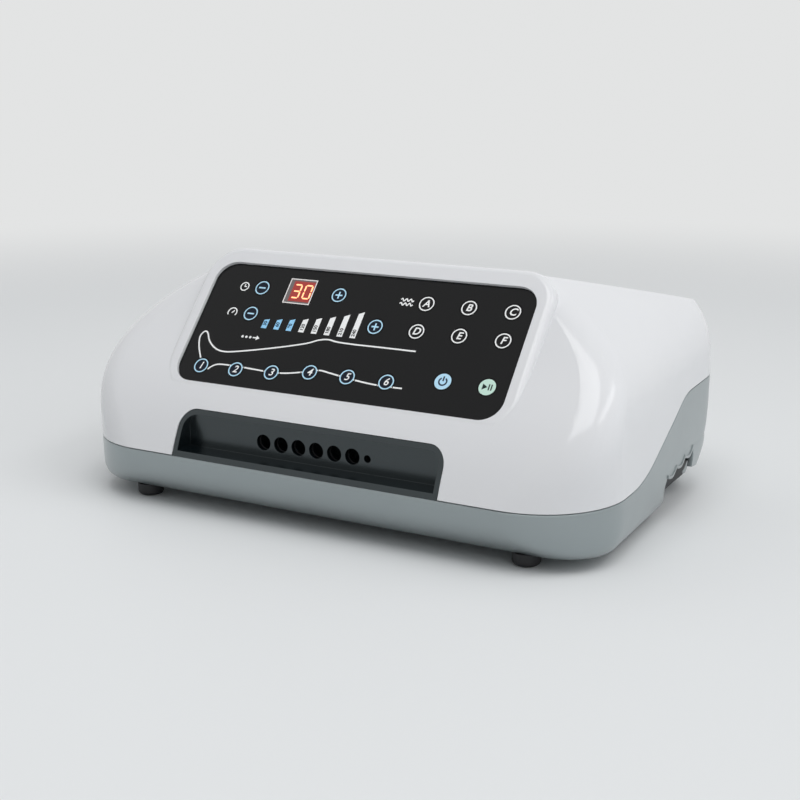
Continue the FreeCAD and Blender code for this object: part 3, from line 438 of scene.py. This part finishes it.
def ink(name, loops, place, finish, body=HOUSING, height=0.0):
    """Printed mark from closed loops in millimetres, centred on place."""
    curve = bpy.data.curves.new(name, "CURVE")
    curve.dimensions = "2D"
    curve.fill_mode = "BOTH"
    for loop in loops:
        spline = curve.splines.new("POLY")
        spline.points.add(len(loop) - 1)
        for point, (x, y) in zip(spline.points, loop):
            point.co = (x, y, 0, 1)
        spline.use_cyclic_u = True
    return printed(name, curve, place, finish, body, height)


def figure(name, words, size, place, finish, body=HOUSING, slot=PANEL_SLOT, height=0.0,
           weight=0.0, lean=0.0):
    """Printed number or letter, centred on place."""
    text = bpy.data.curves.new(name, "FONT")
    text.body = words
    text.size = size
    text.align_x = "CENTER"
    text.align_y = "CENTER"
    text.offset = weight
    text.shear = lean
    return printed(name, text, place, finish, body, height)


print("marks ride on the", HOUSING, "and take the slot", PANEL_SLOT, "unless told otherwise")

# %% [markdown]
# ## Inks
# Screen ink dries to a satin film, rougher than the glossy sheet under it. Its gloss varies on
# a scale of a few millimetres. The dark inks mirror little, so that they stay darker than the
# panel. The display's lit digits glow, and its unlit field has a faint painted glow.

# %% Ink finishes
DARK_INK = {"Specular_IOR_Level": 0.2}


def ink_finish(name, colour, glow=0.0, **sockets):
    finish = new_finish(name, colour, 0.4, **sockets)
    vary_roughness(finish, low=0.35, high=0.48, scale=500)
    if glow:
        shader = finish.node_tree.nodes["Principled BSDF"]
        shader.inputs["Emission Color"].default_value = colour
        shader.inputs["Emission Strength"].default_value = glow
    return finish


ink_white = ink_finish("ink_white", paint(248, 249, 249))
ink_blue = ink_finish("ink_light_blue", paint(184, 228, 252))
ink_deep = ink_finish("ink_deep_blue", paint(8, 22, 38), **DARK_INK)
ink_bar_blue = ink_finish("ink_bar_blue", paint(150, 212, 252))
ink_dark = ink_finish("ink_dark_blue", paint(10, 34, 64), **DARK_INK)
ink_black = ink_finish("ink_black", paint(10, 10, 11), **DARK_INK)
disc_blue = ink_finish("disc_pale_blue", paint(186, 228, 252))
disc_mint = ink_finish("disc_mint", paint(200, 232, 218))
disc_sign = ink_finish("disc_sign_green", paint(14, 38, 34), **DARK_INK)
print("inks", len([m for m in bpy.data.materials if m.name.startswith(("ink_", "disc_"))]))

# %% [markdown]
# ## Rings and signs of the keys
# Each key shows a ring with a sign in it: plus and minus for the two settings, numbers for the
# six places along the leg, letters for the six modes. A ring is two circles, and a sign is one
# loop. Every mark rides on its key, so that it goes down with it.

# %% Rings and signs
RING = 4.7
RING_LINE = 0.8
SIGN_HALF = 2.5
SIGN_LINE = 0.52


def ring_loops():
    return [circle(RING + RING_LINE / 2), circle(RING - RING_LINE / 2)]


def minus_loops(half=SIGN_HALF, line=SIGN_LINE):
    return [bar(-half, -line, half, line)]


def plus_loops(half=SIGN_HALF, line=SIGN_LINE):
    return [[(-half, -line), (-line, -line), (-line, -half), (line, -half), (line, -line),
             (half, -line), (half, line), (line, line), (line, half), (-line, half),
             (-line, line), (-half, line)]]


def mark_key(name, loops, finish, height=0.0, part="_mark"):
    return ink(name + part, loops, key_place(name), finish, name + "_body", height)


print("rings are", round(2 * RING + RING_LINE, 2), "mm across")

# %% [markdown]
# ## Marks on the keys
# The settings' keys and the position keys have a ground of deep blue ink under a light blue
# ring, the mode keys only a white ring. The ground goes on first, and what is printed on it
# lies one thickness of ink higher, so that two layers never share a plane and flicker.

# %% Marked keys
NUMBER = {"size": 7.0, "weight": 0.09, "lean": 0.2}
LETTER = {"size": 6.9, "weight": 0.14, "lean": 0.2}


def tint_key(name):
    """Thin deep-blue ground under the signs of the settings and position keys."""
    mark_key(name, [circle(RING)], ink_deep, part="_ground")


for sign, loops in (("minus", minus_loops()), ("plus", plus_loops())):
    for name in ("key_time_" + sign, "key_pressure_" + sign):
        tint_key(name)
        mark_key(name, ring_loops() + loops, ink_blue, height=INK)
for name in key_names:
    sign = name.split("_")[-1].upper()
    ride = {"place": key_place(name), "body": name + "_body", "slot": "key_black"}
    if name.startswith("key_zone"):
        tint_key(name)
        mark_key(name, ring_loops(), ink_blue, height=INK)
        figure(name + "_number", sign, finish=ink_white, height=INK, **NUMBER, **ride)
    if name.startswith("key_mode"):
        mark_key(name, ring_loops(), ink_white)
        figure(name + "_letter", sign, finish=ink_white, **LETTER, **ride)

# %% [markdown]
# ## Power and play
# These two keys are filled discs, pale blue and mint, with a dark sign: a ring open at the top
# with a bar in it, and an arrowhead beside two bars. The disc takes the place of a ground, and
# the sign is the second layer of ink on it.

# %% Power and play discs
DISC = 5.35
power_sign = [stroke(arc_line(radius=2.5, start=122, end=418), width=0.95),
              bar(left=-0.48, low=0.3, right=0.48, high=3.5)]
play_sign = [[(-3.1, -2.0), (0.1, 0), (-3.1, 2.0)],
             bar(left=0.7, low=-2.0, right=1.5, high=2.0),
             bar(left=2.3, low=-2.0, right=3.1, high=2.0)]
mark_key("key_power", [circle(DISC)], disc_blue)
mark_key("key_power", power_sign, ink_dark, INK, "_sign")
mark_key("key_play_pause", [circle(DISC)], disc_mint)
ink("key_play_sign", play_sign, key_place("key_play_pause"), disc_sign,
    "key_play_pause_body", INK)
print("discs", DISC, "mm in radius")

# %% [markdown]
# ## The pressure scale
# Between the pressure keys stand eight bars, each taller than the last, with a slanted top
# and a small number at its foot. The first three are lit. One loop makes them all, since each
# differs only by its place and height. A number is printed level in the middle of the face
# first, and then a quarter turn and a move lay it lengthwise on its bar.

# %% Bars
BAR_PITCH = 9.45
BAR_LEFT = -66.2
BAR_FOOT = -0.95
BAR_WIDTH = 4.0
BAR_HEIGHTS = [6.9, 7.6, 8.5, 9.7, 11.2, 13.1, 15.5, 18.2]
BAR_SLANT = 0.8
BAR_TIP = 0.2
BAR_LEAN = 0.3
LIT_BARS = 3
SCALE_STEP = 30
SCALE_NUMBER = {"size": 3.4, "weight": 0.09}
NUMBER_RISE = 3.6
QUARTER_TURN = Matrix.Rotation(math.radians(90), 4, "Z")


def bar_outline(step, tall):
    """A bar whose top slants more with each step of the scale."""
    high = tall + BAR_SLANT * step / (len(BAR_HEIGHTS) - 1) + BAR_TIP
    return [(0, 0), (BAR_WIDTH, 0), (BAR_WIDTH, high), (BAR_LEAN, tall - BAR_SLANT)]


for step, tall in enumerate(BAR_HEIGHTS):
    left = BAR_LEFT + step * BAR_PITCH
    lit = step < LIT_BARS
    ink("scale_bar_%d" % (step + 1), [bar_outline(step, tall)], (left, BAR_FOOT),
        ink_bar_blue if lit else ink_white)
    number = figure("scale_number_%d" % (step + 1), str(SCALE_STEP * (step + 1)), place=(0, 0),
                    finish=ink_dark if lit else ink_black, height=INK, **SCALE_NUMBER)
    spot = face_matrix(left + BAR_WIDTH / 2, BAR_FOOT + NUMBER_RISE, 0)
    number.data.transform(spot @ QUARTER_TURN @ face_matrix(0, 0, 0).inverted())
print("bars", len(BAR_HEIGHTS))

# %% [markdown]
# ## The outline of a leg
# Behind the six position keys runs a thin white line in the shape of a leg that lies flat: toes
# on the left, then the calf, the knee and the thigh. It is drawn through a few points with a
# pen of even width. The upper line passes above the keys, so it is one stroke.

# %% Leg outline
PEN = 1.0
leg_top = [(-101.6, -27.6), (-106.6, -19.5), (-109.0, -13.0), (-108.2, -9.2), (-106.0, -8.0),
           (-103.9, -9.6), (-100.6, -14.4), (-95.0, -18.8), (-88.0, -21.0), (-78.0, -20.2),
           (-52.0, -14.6), (-30.0, -8.8), (-20.5, -5.0), (-14.0, -3.9), (-7.5, -4.8),
           (4.0, -5.2), (26.0, -5.1), (48.2, -5.1)]
leg_low = [(-92.6, -35.0), (-89.4, -32.0), (-84.5, -30.5), (-71.9, -30.4), (-58.0, -31.0),
           (-45.0, -31.5), (-33.0, -30.6), (-18.0, -27.4), (-11.6, -25.9), (-4.0, -26.8),
           (9.0, -28.7), (24.0, -30.4), (36.0, -31.0), (48.1, -30.9)]
ink("leg_line_top", [stroke(smooth_line(leg_top), PEN)], (0, 0), ink_white)
print("leg points", len(leg_top), "above and", len(leg_low), "below")

# %% [markdown]
# ## A line across moving keys
# The lower line runs through the position keys. It breaks at each key's ring, and a short piece
# of it crosses the key's own rim and moves with the key. So a finely divided line is cut by its
# distance from the keys' centres: what lies on a rim rides on that key, and what is clear of
# every key stays on the overlay.

# %% Leg line cut at the keys
FINE_STEPS = 60
RIM_START = 5.1
RIM_END = 5.85
CLEAR_OF_KEY = 6.2


def stretches(line, kept):
    """The runs of two or more neighbouring points that are kept."""
    parts = [[]]
    for point in line:
        if kept(point):
            parts[-1].append(point)
        else:
            parts.append([])
    return [part for part in parts if len(part) > 1]


def distance(point, key):
    return (Vector(point) - Vector(key)).length


fine_line = smooth_line(leg_low, FINE_STEPS)
zone_places = {name: key_place(name) for name in key_names if name.startswith("key_zone")}
for zone, key in zone_places.items():
    on_rim = stretches(fine_line, lambda point: RIM_START <= distance(point, key) <= RIM_END)
    stubs = [stroke([(x - key[0], y - key[1]) for x, y in part], PEN) for part in on_rim]
    if stubs:
        mark_key(zone, stubs, ink_white, part="_line")
low_parts = stretches(fine_line, lambda point: all(distance(point, key) > CLEAR_OF_KEY
                                                   for key in zone_places.values()))
ink("leg_line_low", [stroke(part, PEN) for part in low_parts], (0, 0), ink_white)
print("leg line stretches", len(low_parts))

# %% [markdown]
# ## The display
# Two red seven-segment digits sit in a small window with a pale printed border. Unlit
# segments still show as a dull red field, which is given a faint painted glow. Each segment is a
# bar with pointed ends, so a digit is a list of the segments that are lit. A display names its
# segments a to g: clockwise from the top, with g across the middle.

# %% Display digits
DIGIT_WIDTH = 5.0
DIGIT_HALF = 4.9
SEGMENT = 0.5
SEGMENT_GAP = 0.2
LIT = {"3": "abgcd", "0": "abcdef"}
DIGIT_PLACES = {"3": -2.6, "0": 5.6}


def segment_loop(start, end):
    """Bar with pointed ends between two corners of a digit."""
    a, b = Vector(start), Vector(end)
    along = (b - a).normalized()
    side = Vector((-along.y, along.x)) * SEGMENT
    a, b = a + along * SEGMENT_GAP, b - along * SEGMENT_GAP
    return [tuple(p) for p in (a, a + along * SEGMENT - side, b - along * SEGMENT - side,
                               b, b - along * SEGMENT + side, a + along * SEGMENT + side)]


def digit_loops(value, shift):
    x0, x1, h = shift - DIGIT_WIDTH / 2, shift + DIGIT_WIDTH / 2, DIGIT_HALF
    ends = {"a": ((x0, h), (x1, h)), "b": ((x1, h), (x1, 0)), "c": ((x1, 0), (x1, -h)),
            "d": ((x0, -h), (x1, -h)), "e": ((x0, 0), (x0, -h)), "f": ((x0, h), (x0, 0)),
            "g": ((x0, 0), (x1, 0))}
    return [segment_loop(*ends[s]) for s in LIT[value]]


digits = [loop for value, shift in DIGIT_PLACES.items() for loop in digit_loops(value, shift)]
print("lit segments", len(digits))

# %% [markdown]
# ## The window over the digits
# The window is a smoked lens flush with the overlay. Border, field and digits are thin layers
# just under its face, the digits on top.

# %% Display window
BORDER_U = 10.1
BORDER_V = 9.35
BORDER_LINE = 0.7
BEHIND_LENS = -0.1 * MM
DIGIT_LEVEL = -0.05 * MM
display_low, display_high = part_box("display_window")
display_middle = (display_low + display_high) / 2 - FACE_MIDDLE
DISPLAY = (display_middle.dot(ACROSS) / MM, display_middle.dot(UP) / MM)


def border_bar(inset):
    return bar(inset - BORDER_U, inset - BORDER_V, BORDER_U - inset, BORDER_V - inset)


led_red = ink_finish("led_orange_red", paint(255, 172, 124), glow=1.4)
# Painted glow: the unlit red field glows faintly, though nothing in it is lit.
led_field = ink_finish("led_field", paint(150, 50, 44), glow=0.25)
border = ink_finish("display_border", paint(244, 240, 238))
ink("display_border", [border_bar(0), border_bar(BORDER_LINE)], DISPLAY, border,
    height=BEHIND_LENS)
ink("display_field", [bar(left=-6.6, low=-7.6, right=9.2, high=7.6)], DISPLAY, led_field,
    height=BEHIND_LENS)
ink("display_digits", digits, DISPLAY, led_red, height=DIGIT_LEVEL)
wear(inner_finish("display_smoked_grey", paint(112, 104, 104), 0.25), "display_window")
print("display at", [round(v, 1) for v in DISPLAY])

# %% [markdown]
# ## Small pictograms
# The settings need a name beside them, and plain signs do without words: a clock for the time,
# a dial gauge for the pressure, waves for the modes and an arrow along a row for the position.

# %% Pictograms
SIGN_PEN = 0.85
WAVE_PEN = 0.8
WAVE_HEIGHT = 0.9
WAVE_LEFT = -4.5
WAVE_STEP = 0.25
WAVE_TURN = 30
WAVE_POINTS = 37
DOT = 0.9
clock = [circle(3.4), circle(2.6), bar(left=-0.35, low=-0.35, right=0.35, high=2.0),
         bar(left=0.35, low=-0.35, right=1.6, high=0.35)]
gauge = [stroke(arc_line(radius=3.3, start=-35, end=215), SIGN_PEN),
         stroke([(-0.3, -0.4), (1.3, 1.5)], SIGN_PEN)]
wave = [(WAVE_LEFT + WAVE_STEP * i, WAVE_HEIGHT * math.sin(math.radians(WAVE_TURN * i)))
        for i in range(WAVE_POINTS)]
waves = [stroke([(x, y + lift) for x, y in wave], WAVE_PEN) for lift in (1.5, -1.5)]
arrow = [circle(DOT, (-6.0, 0)), circle(DOT, (-3.0, 0)), circle(DOT, (0, 0)),
         [(2.0, -0.45), (4.6, -0.45), (4.6, -1.7), (7.2, 0), (4.6, 1.7), (4.6, 0.45),
          (2.0, 0.45)]]
pictograms = {"clock": (clock, (-91.5, 28.4)), "gauge": (gauge, (-92.5, 8.2)),
              "waves": (waves, (30.0, 28.4)), "position": (arrow, (-71.0, -8.6))}
for sign, (loops, place) in pictograms.items():
    ink("sign_" + sign, loops, place, ink_white)
print("pictograms", list(pictograms))

# %% [markdown]
# ## A backdrop that gives no light
# A pale backdrop should look the same straight on, mirrored in the lid or through a clear
# piece, and yet pour no light on to the pump. The Light Path node says which kind of ray is
# asking, and its answers are added up, to one at most. A second helper turns any value into a
# smooth step, which hides where one thing ends and the next begins.

# %% Helpers for the studio
def ramp_between(tree, value, low, high, start=0.0, end=1.0):
    """Smooth step from start to end while value goes from low to high."""
    span = tree.nodes.new("ShaderNodeMapRange")
    span.interpolation_type = "SMOOTHSTEP"
    for socket, number in (("From Min", low), ("From Max", high), ("To Min", start),
                           ("To Max", end)):
        span.inputs[socket].default_value = number
    tree.links.new(value, span.inputs["Value"])
    return span.outputs["Result"]


def background_rays(tree):
    """1 for what the camera sees, straight on, mirrored or through a clear piece, else 0."""
    rays = tree.nodes.new("ShaderNodeLightPath")
    total = rays.outputs["Is Camera Ray"]
    for kind in ("Is Glossy Ray", "Is Transmission Ray"):
        add = tree.nodes.new("ShaderNodeMath")
        add.operation = "ADD"
        add.use_clamp = True
        tree.links.new(total, add.inputs[0])
        tree.links.new(rays.outputs[kind], add.inputs[1])
        total = add.outputs[0]
    return total


print("studio helpers", ramp_between.__name__, "and", background_rays.__name__)

# %% [markdown]
# ## The floor
# The pump stands on a plain pale floor that runs into an equally pale background. Near the pump
# the floor is a real surface that takes the shadow. Further out, for the camera and for what is
# mirrored, it blends into the background's own colour, so no horizon shows. The blend is made
# in the floor's material, by the distance from the pump.

# %% Floor
scene = bpy.context.scene
FLOOR_SHOWN = paint(226, 228, 229)
BACKGROUND = paint(226, 227, 227)
FLOOR_NEAR = 0.75
FLOOR_AWAY = 1.6
FLOOR_REACH = 9.0


def floor_finish():
    """Pale surface near the pump that blends into the background's colour further out."""
    finish = new_finish("floor_pale", FLOOR_SHOWN, 0.6)
    tree = finish.node_tree
    place = tree.nodes.new("ShaderNodeTexCoord")
    away_from_pump = tree.nodes.new("ShaderNodeVectorMath")
    away_from_pump.operation = "LENGTH"
    tree.links.new(place.outputs["Object"], away_from_pump.inputs[0])
    away = ramp_between(tree, away_from_pump.outputs["Value"], FLOOR_NEAR, FLOOR_AWAY)
    seen = tree.nodes.new("ShaderNodeMath")
    seen.operation = "MULTIPLY"
    tree.links.new(away, seen.inputs[0])
    tree.links.new(background_rays(tree), seen.inputs[1])
    plain = tree.nodes.new("ShaderNodeEmission")
    plain.inputs["Color"].default_value = BACKGROUND
    blend = tree.nodes.new("ShaderNodeMixShader")
    tree.links.new(seen.outputs[0], blend.inputs[0])
    tree.links.new(tree.nodes["Principled BSDF"].outputs[0], blend.inputs[1])
    tree.links.new(plain.outputs[0], blend.inputs[2])
    tree.links.new(blend.outputs[0], tree.nodes["Material Output"].inputs["Surface"])
    return finish


def make_floor(size=FLOOR_REACH):
    mesh = bpy.data.meshes.new("floor")
    corners = [(-size, -size, 0), (size, -size, 0), (size, size, 0), (-size, size, 0)]
    mesh.from_pydata(corners, [], [(0, 1, 2, 3)])
    mesh.materials.append(floor_finish())
    floor = bpy.data.objects.new("floor", mesh)
    scene.collection.objects.link(floor)
    return floor


print("floor", make_floor().name)

# %% [markdown]
# ## The room's light
# Part of the light on the pump comes from a plain room, dim all round, with three broad
# brighter patches: high on the right, and low on the left and behind. They stand for windows
# and pale walls. A patch is a cone around a direction, in which the light rises smoothly to its
# strength, so it needs no object of its own and has no edge.

# %% Room light
ROOM_LIGHT = 0.2
PATCH_EDGE = 0.55
PATCH_CORE = 0.95
LIGHT_PATCHES = {"high right": ((0.7, 0, 0.7), 1.05), "low behind": ((-0.7, 0.7, 0.2), 0.3),
                 "low left": ((-1, 0, 0.25), 0.65)}


def light_patch(tree, direction, toward, strength):
    """Light that rises from 0 to its strength inside a cone around the direction."""
    facing = tree.nodes.new("ShaderNodeVectorMath")
    facing.operation = "DOT_PRODUCT"
    facing.inputs[1].default_value = Vector(toward).normalized()
    tree.links.new(direction, facing.inputs[0])
    return ramp_between(tree, facing.outputs["Value"], PATCH_EDGE, PATCH_CORE, 0.0, strength)


def room_light(tree):
    """Sum of the room's own dim light and its brighter patches."""
    place = tree.nodes.new("ShaderNodeTexCoord")
    total = None
    for toward, strength in LIGHT_PATCHES.values():
        add = tree.nodes.new("ShaderNodeMath")
        add.operation = "ADD"
        add.inputs[1].default_value = ROOM_LIGHT
        patch = light_patch(tree, place.outputs["Generated"], toward, strength)
        tree.links.new(patch, add.inputs[0])
        if total:
            tree.links.new(total, add.inputs[1])
        total = add.outputs[0]
    return total


print("patches", list(LIGHT_PATCHES))

# %% [markdown]
# ## The world
# The world does two jobs, so it has two backgrounds and a mix of them. What the camera sees,
# straight on or mirrored in a glossy piece, is the plain pale one. Every other ray meets the
# room, whose light is very slightly blue, as daylight indoors is.

# %% World
ROOM_COLOUR = (0.98, 0.99, 1.0, 1)


def make_world():
    """The room's light, and a plain background for what the camera sees."""
    world = bpy.data.worlds.new("studio")
    scene.world = world
    world.use_nodes = True
    tree = world.node_tree
    light = tree.nodes["Background"]
    light.inputs["Color"].default_value = ROOM_COLOUR
    tree.links.new(room_light(tree), light.inputs["Strength"])
    shown = tree.nodes.new("ShaderNodeBackground")
    shown.inputs["Color"].default_value = BACKGROUND
    pick = tree.nodes.new("ShaderNodeMixShader")
    tree.links.new(background_rays(tree), pick.inputs[0])
    tree.links.new(light.outputs[0], pick.inputs[1])
    tree.links.new(shown.outputs[0], pick.inputs[2])
    tree.links.new(pick.outputs[0], tree.nodes["World Output"].inputs["Surface"])
    return world


print("world", make_world().name)

# %% [markdown]
# ## Lamps
# Most of the light comes from one square softbox almost overhead, a little in front. It draws a
# short dark shadow close under the base. A long narrow strip on the right leaves the thin bright
# streak on the lid's right flank, where gloss shows best.

# %% Lamps
MIDDLE = (cad_low + cad_high) / 2


def softbox(name, place, width, height, power):
    """Rectangular lamp that looks at the middle of the pump."""
    light = bpy.data.lights.new(name, "AREA")
    light.shape = "RECTANGLE"
    light.size = width
    light.size_y = height
    light.energy = power
    lamp = bpy.data.objects.new(name, light)
    scene.collection.objects.link(lamp)
    lamp.location = place
    lamp.rotation_euler = (MIDDLE - Vector(place)).to_track_quat("-Z", "Y").to_euler()
    return lamp


lamps = [softbox("overhead", place=(0.2, -0.5, 1.7), width=1.0, height=1.0, power=9.0),
         softbox("strip_right", place=(1.15, 0.0, 1.5), width=1.2, height=0.3, power=3.2)]
scene.view_settings.view_transform = "Standard"
print("lamps", [lamp.name for lamp in lamps])

# %% [markdown]
# ## Camera
# A lens of about 60 mm from a little under a metre away, somewhat above the roof, gives the
# gentle perspective of a product picture.

# %% Camera
LENS = 61.97
SENSOR = 36
CAMERA_PLACE = (0.4316, -0.7867, 0.2848)
CAMERA_TILT = math.radians(75.807)
CAMERA_TURN = math.radians(28.893)
camera_data = bpy.data.cameras.new("camera")
camera_data.lens = LENS
camera_data.sensor_width = SENSOR
camera = bpy.data.objects.new("camera", camera_data)
camera.location = CAMERA_PLACE
camera.rotation_euler = (CAMERA_TILT, 0, CAMERA_TURN)
scene.collection.objects.link(camera)
scene.camera = camera
print("camera", round((Vector(CAMERA_PLACE) - MIDDLE).length, 2), "m from the pump's middle")
